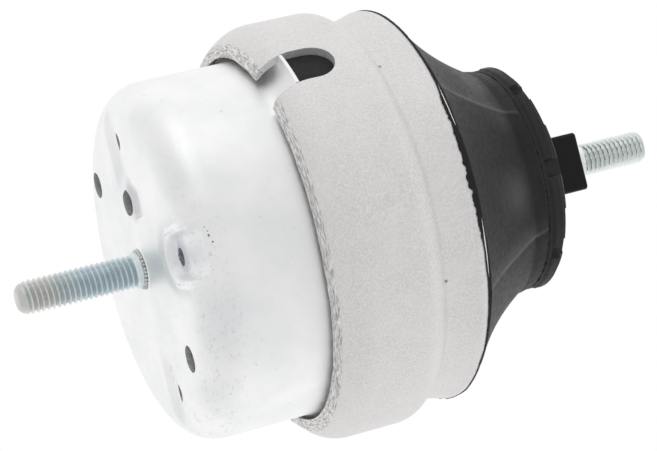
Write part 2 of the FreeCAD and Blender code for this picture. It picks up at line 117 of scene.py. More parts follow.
# %% [markdown]
# ## Outlines
# Every main piece of the mount is round, so each one starts as an outline of radii and heights.
# A step of the outline is a line, or an arc with a bulge in millimetres to the left of the way.
# The outline is cut into short stretches, so that later steps can press and dent the surface.

# %% Outline tools
def tangent_bulge(along, across):
    half_chord = math.hypot(along, across) / 2.0
    return half_chord * math.tan(math.atan2(across, along) / 2.0)


def quarter(radius):
    return tangent_bulge(radius, radius)


def stretch(start, end, bulge, spacing):
    start, end = np.array(start, float), np.array(end, float)
    chord = np.linalg.norm(end - start)
    count = max(1, int(round(chord / spacing)))
    share = np.linspace(0.0, 1.0, count + 1)[1:, None]
    if abs(bulge) < 1e-6:
        return start + (end - start) * share
    radius = (chord * chord / 4.0 + bulge * bulge) / (2.0 * bulge)
    left = np.array([-(end - start)[1], (end - start)[0]]) / chord
    centre = (start + end) / 2.0 + left * (bulge - radius)
    first = math.atan2(*(start - centre)[::-1])
    last = math.atan2(*(end - centre)[::-1])
    sweep = (last - first + math.pi) % (2.0 * math.pi) - math.pi
    angles = first + sweep * share
    return centre + abs(radius) * np.hstack((np.cos(angles), np.sin(angles)))


def outline(start, *steps):
    # Each step is (radius, height, bulge, spacing).
    points = [np.array([start], float)]
    here = start
    for radius, height, bulge, spacing in steps:
        points.append(stretch(here, (radius, height), bulge, spacing))
        here = (radius, height)
    return np.vstack(points)


# %% [markdown]
# ## Turning an outline
# A lathe mesh is a grid: one ring of points for each outline point. Because the grid is plain arrays,
# a pressed dimple, a notch or a wavy edge is one line of arithmetic on its points.

# %% Lathe
def turned_points(path, columns):
    angles = np.linspace(0.0, 2.0 * math.pi, columns, endpoint=False)
    radii, heights = path[:, :1], path[:, 1:]
    x = radii * np.cos(angles)
    y = radii * np.sin(angles)
    z = heights + 0.0 * angles
    return np.stack((x, y, z), axis=-1)


def grid_faces(rows, columns, closed_rows):
    row = np.arange(rows if closed_rows else rows - 1)[:, None]
    column = np.arange(columns)[None, :]
    after = (row + 1) % rows
    beside = (column + 1) % columns
    corners = (row * columns + column, row * columns + beside,
               after * columns + beside, after * columns + column)
    return np.stack(corners, axis=-1).reshape(-1, 4)


def turned_faces(path, columns):
    # An outline that runs with the material on its left gives faces that look outward.
    radii, heights = np.asarray(path).T
    area = np.sum(radii * np.roll(heights, -1) - np.roll(radii, -1) * heights)
    faces = grid_faces(len(path), columns, True)
    return faces if area > 0.0 else faces[:, ::-1]


def mesh_piece(name, points, faces, crease_degrees=35.0):
    # Points that meet on the axis are merged, so a tip is closed by a fan of triangles.
    mesh = bpy.data.meshes.new(name)
    mesh.from_pydata((points.reshape(-1, 3) * MM).tolist(), [], faces.tolist())
    work = bmesh.new()
    work.from_mesh(mesh)
    bmesh.ops.remove_doubles(work, verts=work.verts, dist=0.0002 * MM)
    work.to_mesh(mesh)
    work.free()
    mesh.validate()
    mesh.shade_smooth()
    mesh.set_sharp_from_angle(angle=math.radians(crease_degrees))
    return add_object(name, mesh)


def smooth_step(value):
    value = np.clip(value, 0.0, 1.0)
    return value * value * (3.0 - 2.0 * value)


def turn_from(degrees, middle):
    # Signed angle from the middle, between -180 and 180 degrees.
    return (degrees - middle + 180.0) % 360.0 - 180.0


def polar(points):
    # Angle round the axis and distance from it, for every point.
    return np.arctan2(points[..., 1], points[..., 0]), np.hypot(points[..., 0], points[..., 1])


def soft_max(first, second, blend):
    gap = np.clip(0.5 + 0.5 * (first - second) / blend, 0.0, 1.0)
    return second + (first - second) * gap + blend * gap * (1.0 - gap)


def soft_noise(angle, waves, seed):
    # A few sine waves round the ring, the same on every run.
    chance = np.random.default_rng(seed)
    total = np.zeros_like(angle)
    for count in waves:
        total += np.sin(count * angle + chance.uniform(0.0, 2.0 * math.pi)) / math.sqrt(len(waves))
    return total


# %% [markdown]
# ## Cutting holes
# Holes and the slot are punched in the real sheet after it is formed. A boolean cut does the same here,
# and it leaves a true wall in the thickness of the sheet. The cutter is thrown away afterwards.

# %% Cutting
def cut_away(piece, cutters):
    for cutter in cutters:
        cut = piece.modifiers.new("cut", "BOOLEAN")
        cut.operation = "DIFFERENCE"
        cut.solver = "EXACT"
        cut.object = cutter
    bpy.context.view_layer.update()
    graph = bpy.context.evaluated_depsgraph_get()
    result = bpy.data.meshes.new_from_object(piece.evaluated_get(graph))
    piece.modifiers.clear()
    old = piece.data
    piece.data = result
    bpy.data.meshes.remove(old)
    for cutter in cutters:
        bpy.data.objects.remove(cutter)


def prism_cutter(name, points):
    # A closed solid between two rings of points, the lower ring first.
    count = len(points) // 2
    sides = grid_faces(2, count, False).tolist()
    lids = [list(range(count))[::-1], list(range(count, 2 * count))]
    mesh = bpy.data.meshes.new(name)
    mesh.from_pydata((points * MM).tolist(), [], sides + lids)
    return add_object(name, mesh)


def round_cutter(name, radius, low, high, x, y, columns=56):
    angles = np.linspace(0.0, 2.0 * math.pi, columns, endpoint=False)
    ring = np.stack((x + radius * np.cos(angles), y + radius * np.sin(angles)), axis=-1)
    rings = [np.column_stack((ring, np.full(columns, height))) for height in (low, high)]
    return prism_cutter(name, np.vstack(rings))


# %% [markdown]
# ## The drawn cup
# The real cup is a disc of aluminium sheet, pressed through a ring into a pot and then struck once more
# for the flutes and the locating dimple. So the mesh starts as a plain pot and is pressed too: each point
# rises to the height of the punch where the punch is higher, with a soft bend at its edge.

# %% Cup outline
CORNER_R = 9.0
WALL_TOP = 28.4
INNER_WALL_TOP = 26.9
LIP_R = 46.2
LIP_UNDER = 33.4
LIP_TOP = 35.53
KNURL_R = 4.7

cup_path = outline(
    (KNURL_R, 0.0),
    (KNURL_R + 0.05, -0.22, 0.0, 0.3),
    (KNURL_R + 0.28, -0.2, 0.06, 0.12),
    (KNURL_R + 0.55, 0.0, 0.0, 0.2),
    (CUP_R - CORNER_R, 0.0, 0.0, 0.32),
    (CUP_R, CORNER_R, -quarter(CORNER_R), 0.32),
    (CUP_R, WALL_TOP, 0.0, 1.1),
    (LIP_R, LIP_UNDER, tangent_bulge(LIP_UNDER - WALL_TOP, LIP_R - CUP_R), 0.8),
    (LIP_R, LIP_TOP, 0.0, 0.2),
    (CUP_R - SHEET, INNER_WALL_TOP, -tangent_bulge(LIP_TOP - INNER_WALL_TOP, LIP_R - CUP_R + SHEET), 1.6),
    (CUP_R - SHEET, CORNER_R, 0.0, 3.0),
    (CUP_R - CORNER_R, SHEET, quarter(CORNER_R - SHEET), 1.2),
    (KNURL_R, SHEET, 0.0, 1.0),
)
print("cup outline points:", len(cup_path))


# %% Cup pressings
FLUTE_HALF, FLUTE_DEPTH, FLUTE_Y, FLUTE_START = 6.1, 1.3, -0.2, 23.1
DIMPLE_X, DIMPLE_Y, DIMPLE_DEPTH, DIMPLE_FLOOR, DIMPLE_MOUTH = 0.5, 27.2, 2.8, 4.3, 5.4
DIMPLE_RAMP, DISH_DEPTH, DISH_WIDTH, LIP_RIDGE = 0.16, 0.55, 4.5, 0.4
PAD_X, PAD_HALF, PAD_DEPTH, PAD_SLOPE = 15.4, 4.1, 0.35, 0.5
PAD_LOW, PAD_STEP, PAD_DEEPEST, PAD_HIGH = -0.5, 3.4, 6.5, 15.0


def flute_height(x, y):
    # The flute's wall on the low side of y is steeper, so its valley reads as a crease.
    run = np.maximum(FLUTE_START - np.abs(x), 0.0)
    aside = (y - FLUTE_Y) * np.where(y < FLUTE_Y, 1.8, 0.9)
    return FLUTE_DEPTH * (1.0 - np.sqrt(run ** 2 + aside ** 2 + 0.002) / FLUTE_HALF)


def dimple_aside(x, y):
    # Distance from the middle line of the pocket, which widens a little towards the corner.
    ahead = np.clip(y - DIMPLE_Y, 0.0, 14.0)
    return np.hypot(x - DIMPLE_X, np.minimum(y - DIMPLE_Y, 0.0)) - 0.08 * ahead


def dimple_height(x, y):
    # A round flat floor round the hole, steep sides, and a ramp that climbs towards the corner.
    slope = DIMPLE_DEPTH / (DIMPLE_MOUTH - DIMPLE_FLOOR)
    wall = (DIMPLE_MOUTH - dimple_aside(x, y)) * slope
    past_floor = np.hypot(x - DIMPLE_X, y - DIMPLE_Y) - DIMPLE_FLOOR
    ramp = DIMPLE_RAMP * soft_max(np.where(y > DIMPLE_Y, past_floor, 0.0), np.zeros_like(x), 0.6)
    return -soft_max(-wall, -(DIMPLE_DEPTH + ramp), 0.5)


def dish_height(x, y):
    # Round the pocket the sheet is drawn down a little, and its edge is a raised bead.
    outside = dimple_aside(x, y) - DIMPLE_MOUTH
    dish = DISH_DEPTH * smooth_step(1.0 - outside / DISH_WIDTH)
    bead = LIP_RIDGE * np.exp(-((outside - 0.4) / 0.45) ** 2)
    return (dish - bead) * smooth_step((44.0 - np.hypot(x, y)) / 4.0)


def pad_height(x, y):
    # A shallow print beside the pilot hole, crisp on its low side, which sinks and rises again softly.
    print_floor = PAD_DEPTH * smooth_step((y - PAD_LOW) / 4.0) + PAD_SLOPE * smooth_step(
        (y - PAD_STEP) / (PAD_DEEPEST - PAD_STEP))
    rise = smooth_step((PAD_HIGH - y) / (PAD_HIGH - PAD_DEEPEST))
    sides = smooth_step((x - PAD_X + PAD_HALF) / 0.4) * smooth_step((PAD_X + PAD_HALF - x) / 3.0)
    return print_floor * rise * sides


CUP_COLUMNS = 480
cup_points = turned_points(cup_path, CUP_COLUMNS)
cup_x, cup_y, cup_z = cup_points[..., 0], cup_points[..., 1], cup_points[..., 2]
half_way = int(np.argmax(cup_path[:, 0]))
is_inner = (np.arange(len(cup_path)) > half_way + 1)[:, None]
lift = np.where(is_inner, SHEET, 0.0)
near_base = cup_z < CORNER_R + SHEET
pressed = soft_max(cup_z, flute_height(cup_x, cup_y) + lift, 0.12)
pressed = pressed + dish_height(cup_x, cup_y)
pressed = soft_max(pressed, dimple_height(cup_x, cup_y) + lift, 0.12)
pressed = pressed + pad_height(cup_x, cup_y)
cup_points[..., 2] = np.where(near_base, pressed, cup_z)
hub = cup_path[:, :1] < KNURL_R + 0.6
cup_points[..., 2] = np.where(hub, cup_z, cup_points[..., 2])

# The tongue of the lip stands in the slot of the sleeve.
SLOT_HALF, SLOT_END, SLOT_DEGREES = 5.3, 45.0, 44.0
TONGUE_HALF = SLOT_HALF - 0.2
slot_turn = math.radians(SLOT_DEGREES)
sideways = cup_y * math.cos(slot_turn) - cup_x * math.sin(slot_turn)
ahead = cup_x * math.cos(slot_turn) + cup_y * math.sin(slot_turn) > 0.0
on_tongue = np.isclose(cup_path[:, :1], LIP_R) & ahead & (np.abs(sideways) < TONGUE_HALF + 0.3)
share = (cup_z - LIP_UNDER) / (LIP_TOP - LIP_UNDER)
knots = (0.0, 0.12, 0.24, 0.36, 0.5, 0.58, 0.72, 1.0)
tongue_r = np.interp(share, knots, (46.2, 46.9, 47.6, 48.3, 48.85, 49.0, 48.95, 46.2))
tongue_z = np.interp(share, knots, (33.4, 33.66, 33.85, 33.97, 34.02, 34.12, 34.8, 35.53))
across = np.clip(sideways, -TONGUE_HALF, TONGUE_HALF)
outward = np.sqrt(tongue_r ** 2 - across ** 2)
tongue_x = outward * math.cos(slot_turn) - across * math.sin(slot_turn)
tongue_y = outward * math.sin(slot_turn) + across * math.cos(slot_turn)
for side, moved in enumerate((tongue_x, tongue_y, tongue_z)):
    cup_points[..., side] = np.where(on_tongue, moved, cup_points[..., side])
drawn_cup = mesh_piece("drawn_cup", cup_points, turned_faces(cup_path, CUP_COLUMNS))
print("drawn cup faces:", len(drawn_cup.data.polygons))

# %% Cup holes
TOOLING_CIRCLE_R, TOOLING_HOLE_R = 30.8, 3.1
VENT_X, VENT_Y, VENT_R = 29.3, 5.6, 2.1
DIMPLE_HOLE_Y = 25.1
PILOT_R, PILOT_Y = 3.0, 1.0
CUT_LOW, CUT_HIGH = -3.0, 12.0

# Each hole has its radius and its middle.
holes = [(TOOLING_HOLE_R, TOOLING_CIRCLE_R * math.cos(turn), TOOLING_CIRCLE_R * math.sin(turn))
         for turn in (math.radians(-45.0), math.radians(135.0))]
holes += [(VENT_R, -VENT_X, VENT_Y), (VENT_R, VENT_X, VENT_Y), (PILOT_R, PAD_X, PILOT_Y),
          (VENT_R, DIMPLE_X, DIMPLE_HOLE_Y)]
cut_away(drawn_cup, [round_cutter("hole_cut", radius, CUT_LOW, CUT_HIGH, x, y) for radius, x, y in holes])
drawn_cup.data.shade_smooth()
drawn_cup.data.set_sharp_from_angle(angle=math.radians(32.0))
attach(drawn_cup, "root")
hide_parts("lower_cup")
print("cup faces after the holes:", len(drawn_cup.data.polygons))

# %% [markdown]
# ## The rolled sleeve
# The sleeve is one piece of tube: a roller pushed the V neck in, the far end was flared and rounded for
# the rubber, and the near end was crimped over the cup's lip. A crimped edge is never quite even, so the
# last rings get a slight wave. The slot was milled before, which is why its walls are square to the tube.

# %% Sleeve outline
CRIMP_EDGE, CRIMP_BEND, SEAT = 28.9, 37.0, 38.5
SHOULDER, NECK, FUNNEL, RIM = 49.0, 55.0, 63.6, 65.4
NECK_R, FUNNEL_R, RIM_R = 45.45, 46.9, 46.5
NECK_BULGE = tangent_bulge(NECK - SHOULDER, SLEEVE_R - NECK_R)
SLEEVE_COLUMNS = 384
CRIMP_INNER_R, CRIMP_OUTER_R = 43.2, 46.1
FUNNEL_HOLLOW, RIM_CROWN = 0.38, 0.12

sleeve_path = outline(
    (CRIMP_INNER_R, CRIMP_EDGE),
    (CRIMP_INNER_R + 0.1, CRIMP_EDGE + 0.5, 0.0, 0.5),
    (BORE_R, CRIMP_BEND, -1.0, 1.2),
    (BORE_R, SHOULDER, 0.0, 3.0),
    (NECK_R - SHEET, NECK, -NECK_BULGE, 1.6),
    (FUNNEL_R - SHEET, FUNNEL, 0.0, 3.0),
    (RIM_R - 1.6, RIM - 0.2, 0.0, 1.2),
    (RIM_R - 1.3, RIM, -0.1, 0.3),
    (RIM_R - 0.5, RIM, 0.0, 0.5),
    (RIM_R + 0.1, RIM - 0.3, 0.12, 0.25),
    (FUNNEL_R, FUNNEL, RIM_CROWN, 0.45),
    (NECK_R + 0.05, NECK + 0.15, -FUNNEL_HOLLOW, 0.5),
    (NECK_R, NECK, -0.02, 0.1),
    (NECK_R + 0.12, NECK - 0.12, -0.02, 0.1),
    (SLEEVE_R, SHOULDER, NECK_BULGE - 0.05, 0.45),
    (SLEEVE_R, CRIMP_BEND, 0.0, 0.8),
    (CRIMP_OUTER_R + 0.1, CRIMP_EDGE + 0.95, 0.8, 0.45),
    (CRIMP_OUTER_R - 0.1, CRIMP_EDGE + 0.85, 0.0, 0.1),
    (CRIMP_OUTER_R - 0.25, CRIMP_EDGE + 0.62, 0.0, 0.1),
    (CRIMP_INNER_R + 0.5, CRIMP_EDGE + 0.05, 0.0, 0.25),
    (CRIMP_INNER_R, CRIMP_EDGE, 0.0, 0.25),
)[:-1]
sleeve_points = turned_points(sleeve_path, SLEEVE_COLUMNS)
print("sleeve outline points:", len(sleeve_path))

# %% Sleeve waves
# Each bend of the crimped edge has its middle, its width in degrees and its height.
EDGE_BENDS = ((88.0, 32.0, -0.55), (188.0, 30.0, 0.9), (300.0, 40.0, -0.3))
EDGE_WAVE, FACE_ROUGHNESS, NECK_WAVE, SWELL_SHARE = 0.07, 0.035, 0.1, 0.0011
angle, sleeve_reach = polar(sleeve_points)
crimp_share = smooth_step((CRIMP_BEND - sleeve_points[..., 2]) / (CRIMP_BEND - CRIMP_EDGE))
edge_wave = EDGE_WAVE * soft_noise(angle, (5, 9, 14, 31), 3)
for middle_degrees, width_degrees, height in EDGE_BENDS:
    edge_wave += height * np.exp(-(turn_from(np.degrees(angle), middle_degrees) / width_degrees) ** 2)
sleeve_points[..., 2] += crimp_share * edge_wave
face_share = np.exp(-((sleeve_points[..., 2] - edge_wave - CRIMP_EDGE - 0.4) / 0.45) ** 2)
rough_face = np.random.default_rng(17).normal(size=sleeve_points.shape[:2])
for _ in range(2):
    rough_face = (np.roll(rough_face, 1, 1) + rough_face + np.roll(rough_face, -1, 1)) / 2.0
is_face = (sleeve_reach < CRIMP_OUTER_R) & (face_share > 0.3)
sleeve_points[..., 2] += FACE_ROUGHNESS * rough_face * is_face
neck_share = np.exp(-((sleeve_points[..., 2] - NECK) / 2.5) ** 2)
sleeve_points[..., 2] += NECK_WAVE * neck_share * soft_noise(angle, (2, 3, 7), 5)
sleeve_swell = 1.0 + SWELL_SHARE * crimp_share * soft_noise(angle, (4, 6, 11, 17), 7)
sleeve_points[..., :2] *= sleeve_swell[..., None]
rolled_sleeve = mesh_piece("rolled_sleeve", sleeve_points, turned_faces(sleeve_path, SLEEVE_COLUMNS))
print("sleeve faces:", len(rolled_sleeve.data.polygons))

# %% Sleeve slot
SLOT_REACH = (40.0, 56.0)


def slot_cutter():
    # Stadium with one open end, pushed out from inside the tube.
    turn_steps = np.linspace(0.0, math.pi, 33)
    across = SLOT_HALF * np.cos(turn_steps)
    along = SLOT_END - SLOT_HALF + SLOT_HALF * np.sin(turn_steps)
    low = CRIMP_EDGE - 4.0
    across = np.concatenate((across, [-SLOT_HALF, SLOT_HALF]))
    along = np.concatenate((along, [low, low]))
    count = len(across)
    rings = [np.column_stack((np.full(count, reach), across, along)) for reach in SLOT_REACH]
    turn = math.radians(SLOT_DEGREES)
    spin = np.array([[math.cos(turn), -math.sin(turn), 0.0], [math.sin(turn), math.cos(turn), 0.0],
                     [0.0, 0.0, 1.0]])
    return prism_cutter("slot_cut", np.vstack(rings) @ spin.T)


cut_away(rolled_sleeve, [slot_cutter()])
rolled_sleeve.data.shade_smooth()
rolled_sleeve.data.set_sharp_from_angle(angle=math.radians(38.0))
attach(rolled_sleeve, "root")
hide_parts("outer_sleeve")
print("sleeve faces after the slot:", len(rolled_sleeve.data.polygons))

# %% [markdown]
# ## Threads
# A thread is a ridge that climbs one pitch on each turn. On a lathe grid that is simple: the radius
# depends on the height minus the turn, so a sharp wave of one pitch runs round the rod as a helix. It
# fades out at the chamfer and at the plain end, as the rolled thread of a stud does.

# %% Thread
THREAD_DEPTH = 0.7
RING_STEP = PITCH / 14.0


def thread_radius(height, angle, low, high, fade_low, fade_high):
    phase = (height / PITCH - angle / (2.0 * math.pi)) % 1.0
    wave = np.abs(phase - 0.5) * 2.0
    flank = np.clip((wave - 0.08) / 0.88, 0.0, 1.0)
    share = smooth_step((height - low) / fade_low) * smooth_step((high - height) / fade_high)
    return THREAD_R - THREAD_DEPTH * (1.0 - flank) * share


def threaded_stud(path, low, high, fade_low, fade_high, columns):
    points = turned_points(path, columns)
    angle, radius = polar(points)
    cut_radius = thread_radius(points[..., 2], angle % (2.0 * math.pi), low, high, fade_low, fade_high)
    on_thread = (points[..., 2] > low) & (points[..., 2] < high) & (radius < THREAD_R + 0.05)
    new_radius = np.where(on_thread, np.minimum(radius, cut_radius), radius)
    points[..., :2] *= (new_radius / np.maximum(radius, 1e-9))[..., None]
    return points


# %% Cup stud
STUD_COLUMNS, KNURL_TEETH, KNURL_DEPTH = 120, 30.0, 0.08
HEAD_R, HEAD_TOP = 10.0, 5.0
cup_stud_path = outline(
    (0.0, base_low + 0.02),
    (1.6, base_low + 0.08, 0.0, 0.4),
    (THREAD_R - 0.95, base_low + 0.75, -0.22, 0.2),
    (THREAD_R - 0.5, base_low + 1.5, -0.06, RING_STEP),
    (THREAD_R, base_low + 2.9, 0.0, RING_STEP),
    (THREAD_R, -2.0, 0.0, RING_STEP),
    (THREAD_R + 0.22, -1.75, 0.05, 0.1),
    (THREAD_R + 0.22, -0.95, 0.0, 0.4),
    (KNURL_R - 0.3, -0.88, 0.0, 0.2),
    (KNURL_R, -0.7, 0.0, 0.1),
    (KNURL_R, SHEET, 0.0, 0.4),
    (HEAD_R, SHEET, 0.0, 2.0),
    (HEAD_R, 4.4, 0.0, 1.2),
    (9.4, HEAD_TOP, 0.0, 0.8),
    (0.0, HEAD_TOP, 0.0, 3.0),
)
points = threaded_stud(cup_stud_path, base_low + 0.5, -1.9, 0.8, 0.7, STUD_COLUMNS)
knurl_angle, stud_reach = polar(points)
on_knurl = (points[..., 2] > -0.9) & (points[..., 2] < SHEET - 0.01) & (stud_reach < KNURL_R + 0.3)
tooth = 0.5 + 0.5 * np.cos(KNURL_TEETH * knurl_angle)
knurl_share = np.where(on_knurl, 1.0 - KNURL_DEPTH * tooth, 1.0)
points[..., :2] *= knurl_share[..., None]
cup_stud = mesh_piece("cup_stud", points, turned_faces(cup_stud_path, STUD_COLUMNS), 50.0)
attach(cup_stud, "root")
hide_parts("lower_stud")

# %% Upper stud
TOP_STUD_COLUMNS, SHANK_R = 72, 4.4
shank_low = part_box("upper_stud")[0][2] / MM
tip_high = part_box("upper_stud")[1][2] / MM
core_stud_path = outline(
    (0.0, shank_low),
    (SHANK_R, shank_low, 0.0, 2.0),
    (SHANK_R, key_top, 0.0, 5.0),
    (THREAD_R - 0.1, key_top, 0.0, 0.5),
    (THREAD_R - 0.1, key_top + 1.7, 0.0, 0.4),
    (THREAD_R, key_top + 2.0, 0.0, RING_STEP),
    (THREAD_R, tip_high - 1.3, 0.0, RING_STEP),
    (THREAD_R - 0.55, tip_high - 0.4, 0.0, RING_STEP),
    (2.6, tip_high - 0.04, 0.12, 0.3),
    (0.0, tip_high, 0.0, 0.6),
)
points = threaded_stud(core_stud_path, key_top + 1.9, tip_high + 1.0, 0.8, 0.3, TOP_STUD_COLUMNS)
core_stud = mesh_piece("core_stud", points, turned_faces(core_stud_path, TOP_STUD_COLUMNS), 50.0)
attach(core_stud, "root")
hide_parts("upper_stud")
print("thread faces:", len(cup_stud.data.polygons), len(core_stud.data.polygons))

# %% [markdown]
# ## The moulded rubber
# The rubber cone is moulded onto the sleeve and the core in a tool of several parts. The tool leaves its
# mark: thin raised lines where its panels meet, a parting line under the cap, and notches where pins held
# the core's flange. All of them are small moves of the lathe grid, worked out from angle and height.

# %% Rubber outline
CONE_TOP, CONE_TOP_R = 86.5, 27.5
PARTING, PARTING_R, CAP_R, CAP_TOP = 90.6, 26.7, 27.2, 95.15
PLATE_R, STEP_R = 45.0, 41.0
KEY_HALF, NOTCHES = 7.0, 8

rubber_path = outline(
    (KEY_HALF - 0.5, CAP_TOP - 1.1),
    (24.0, CAP_TOP - 1.1, 0.0, 6.0),
    (24.0, PARTING + 0.13, 0.0, 3.0),
    (21.5, PARTING + 0.13, 0.0, 3.0),
    (21.5, CONE_TOP, 0.0, 3.0),
    (9.0, 72.0, 0.0, 6.0),
    (7.0, 70.0, 0.0, 3.0),
    (0.0, 70.0, 0.0, 6.0),
    (0.0, 67.0, 0.0, 3.0),
    (14.0, 66.0, 0.0, 6.0),
    (STEP_R, 50.0, 2.0, 4.0),
    (STEP_R, 46.5, 0.0, 4.0),
    (PLATE_R, 46.5, 0.0, 4.0),
    (PLATE_R, SEAT, 0.0, 4.0),
    (BORE_R - 0.1, SEAT, 0.0, 2.0),
    (BORE_R - 0.1, LIP_TOP + 0.1, 0.0, 1.0),
    (BORE_R - 0.03, LIP_TOP + 0.1, 0.0, 1.0),
    (BORE_R - 0.03, SHOULDER, 0.0, 1.5),
    (NECK_R - SHEET - 0.03, NECK, -NECK_BULGE, 1.6),
    (FUNNEL_R - SHEET - 0.03, FUNNEL, 0.0, 3.0),
    (RIM_R - 1.65, RIM, 0.0, 1.2),
    (RIM_R - 0.75, RIM + 0.12, 0.0, 0.4),
    (RIM_R - 0.9, RIM + 0.7, 0.0, 0.3),
    (CONE_TOP_R, CONE_TOP, 1.4, 0.42),
    (PARTING_R, PARTING - 0.3, -0.12, 0.4),
    (PARTING_R - 0.06, PARTING, 0.0, 0.2),
    (PARTING_R, PARTING + 0.3, 0.0, 0.2),
    (CAP_R, PARTING + 1.4, 0.1, 0.25),
    (CAP_R, CAP_TOP - 1.2, 0.0, 0.3),
    (CAP_R - 1.2, CAP_TOP, quarter(1.2), 0.22),
    (KEY_HALF - 0.5, CAP_TOP, 0.0, 0.6),
)[:-1]
COLUMNS = 540
rubber_points = turned_points(rubber_path, COLUMNS)
print("rubber outline points:", len(rubber_path))

# %% Rubber details
outer_rows = np.arange(len(rubber_path)) >= int(np.argmin(np.abs(rubber_path[:, 1] - (RIM + 0.7))))
rubber_height = rubber_points[..., 2].copy()
rubber_turn, rubber_radius = polar(rubber_points)
rubber_degrees = np.degrees(rubber_turn) % 360.0
on_cone = outer_rows[:, None] & (rubber_height < PARTING - 0.4) & (rubber_height > RIM + 0.6)
on_cap = outer_rows[:, None] & (rubber_height > PARTING + 0.2)


def ridge(distance_mm, width_mm):
    return np.exp(-(distance_mm / width_mm) ** 2)


# Each mould line has its angle and how far it bends on its way up the cone, in degrees.
MOULD_LINES = ((59.0, -2.4), (119.5, 2.8), (239.0, -2.4), (299.5, 2.8))
LINE_HEIGHT, LINE_WIDTH, PANEL_HEIGHT, PANEL_WIDTH = 0.26, 0.42, 0.2, 5.0
ARC_LOW, ARC_CLIMB, ARC_DEGREES = 77.4, 7.5, 29.0
NOTCH_HALF, NOTCH_DEPTH, NOTCH_SOFT = 2.3, 1.7, 0.35
PAD_STRIP_HALF, PAD_STRIP_RISE = 10.15, 0.6


def across_line(line_degrees, bend, degrees, height, radius):
    # Distance from a mould line along the skin, in millimetres.
    climb = np.clip((height - RIM) / (PARTING - RIM), 0.0, 1.0)
    return np.radians(turn_from(degrees, line_degrees + bend * np.sin(climb * math.pi))) * radius


swell = np.zeros_like(rubber_radius)
for line_degrees, bend in MOULD_LINES:
    across = across_line(line_degrees, bend, rubber_degrees, rubber_height, rubber_radius)
    line = LINE_HEIGHT * ridge(across, LINE_WIDTH) + PANEL_HEIGHT * ridge(across, PANEL_WIDTH)
    swell += line * on_cone
for arc_degrees in (88.0, 268.0):
    away = turn_from(rubber_degrees, arc_degrees)
    arc_height = ARC_LOW + ARC_CLIMB * np.clip(away / ARC_DEGREES, 0.0, 1.0) ** 2.2
    near = (away > 2.0) & (away < ARC_DEGREES + 2.0)
    swell += 0.22 * ridge(rubber_height - arc_height, 1.3) * on_cone * near
swell += 0.09 * soft_noise(np.radians(rubber_degrees), (3, 5, 8, 13), 11) * on_cone

notch_depth = np.zeros_like(rubber_radius)
for notch in range(NOTCHES):
    aside = np.abs(np.radians(turn_from(rubber_degrees, notch * 360.0 / NOTCHES))) * CAP_R
    notch_depth = np.maximum(notch_depth, smooth_step((NOTCH_HALF - aside) / NOTCH_SOFT))
notch_depth = notch_depth * smooth_step((rubber_height - PARTING - 1.0) / NOTCH_SOFT) * on_cap
notched = np.minimum(rubber_radius, CAP_R - NOTCH_DEPTH)
new_radius = rubber_radius + swell
new_radius = new_radius + (notched - new_radius) * notch_depth
rubber_points[..., :2] *= (new_radius / np.maximum(rubber_radius, 1e-9))[..., None]

on_top = outer_rows[:, None] & (rubber_height > CAP_TOP - 1.1)
pad_edge = smooth_step((PAD_STRIP_HALF - np.abs(rubber_points[..., 0])) / 0.3)
pad_rim = smooth_step((CAP_R - 1.3 - rubber_radius) / 0.35)
rubber_points[..., 2] += PAD_STRIP_RISE * pad_edge * pad_rim * on_top
moulded_rubber = mesh_piece("moulded_rubber", rubber_points, turned_faces(rubber_path, COLUMNS), 60.0)

# %% Rubber bloom and painted light
# Where the skin is lighter: 0 for clean black rubber, 1 for chalky skin, written on the mesh's points.
# Besides the chalk it carries painted light along the mould lines and painted shade under the cap.
corners = np.array([vertex.co[:] for vertex in moulded_rubber.data.vertices]) / MM
corner_turn, corner_reach = polar(corners)
corner_degrees = np.degrees(corner_turn) % 360.0
corner_climb = np.clip((corners[:, 2] - RIM) / (PARTING - RIM), 0.0, 1.0)
bloom_and_painted_light = np.full(len(corners), 0.1)
# Painted highlight on each mould line, and painted light in a wider band on one side of it.
for line_degrees, bend in MOULD_LINES:
    across = across_line(line_degrees, bend, corner_degrees, corners[:, 2], corner_reach)
    bloom_and_painted_light += 1.1 * ridge(across, 0.45) + 0.4 * ridge(across, 3.0) * (across < 0.0)

# Chalky clouds, each with its angle, its share of the climb to the cap, its two widths and its strength.
for degrees, climb, wide_degrees, wide_climb, strength in (
        (38.0, 0.66, 13.0, 0.2, 0.8), (30.0, 0.3, 14.0, 0.3, 0.4), (98.0, 0.62, 9.0, 0.2, 0.6),
        (62.0, 0.75, 5.0, 0.1, 0.3), (150.0, 0.6, 22.0, 0.35, 0.45), (215.0, 0.5, 20.0, 0.3, 0.5),
        (330.0, 0.6, 18.0, 0.3, 0.5)):
    bloom_and_painted_light += strength * ridge(turn_from(corner_degrees, degrees), wide_degrees) * ridge(
        corner_climb - climb, wide_climb)
# Painted shade: the skin is made darker towards the cap, in the hollow under it.
bloom_and_painted_light *= 1.0 - 0.6 * smooth_step((corners[:, 2] - CONE_TOP + 2.5) / 4.0)
bloom_and_painted_light = np.where(corners[:, 2] > PARTING - 0.4, 0.2, bloom_and_painted_light)
bloom_and_light_layer = moulded_rubber.data.attributes.new("bloom", "FLOAT", "POINT")
bloom_and_light_layer.data.foreach_set("value", np.clip(bloom_and_painted_light, 0.0, 1.5).astype(np.float32))
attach(moulded_rubber, "root")
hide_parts("rubber_spring")
print("rubber faces:", len(moulded_rubber.data.polygons))

# %% [markdown]
# ## Flash
# Where mould parts meet, a skin of rubber squeezes out and is torn off, and a ragged rim stays. One thin
# skin lies on the sleeve's rounded rim, with a line of bare metal beside it, and another stands out of the
# parting line under the cap. Each is a thin ribbon whose width changes at random, with a fixed seed.

# %% Flash on the rim
def ragged(count, seed, smooth):
    chance = np.random.default_rng(seed)
    values = chance.random(count)
    for _ in range(smooth):
        values = (np.roll(values, 1) + values + np.roll(values, -1)) / 3.0
    low, high = values.min(), values.max()
    return (values - low) / (high - low)


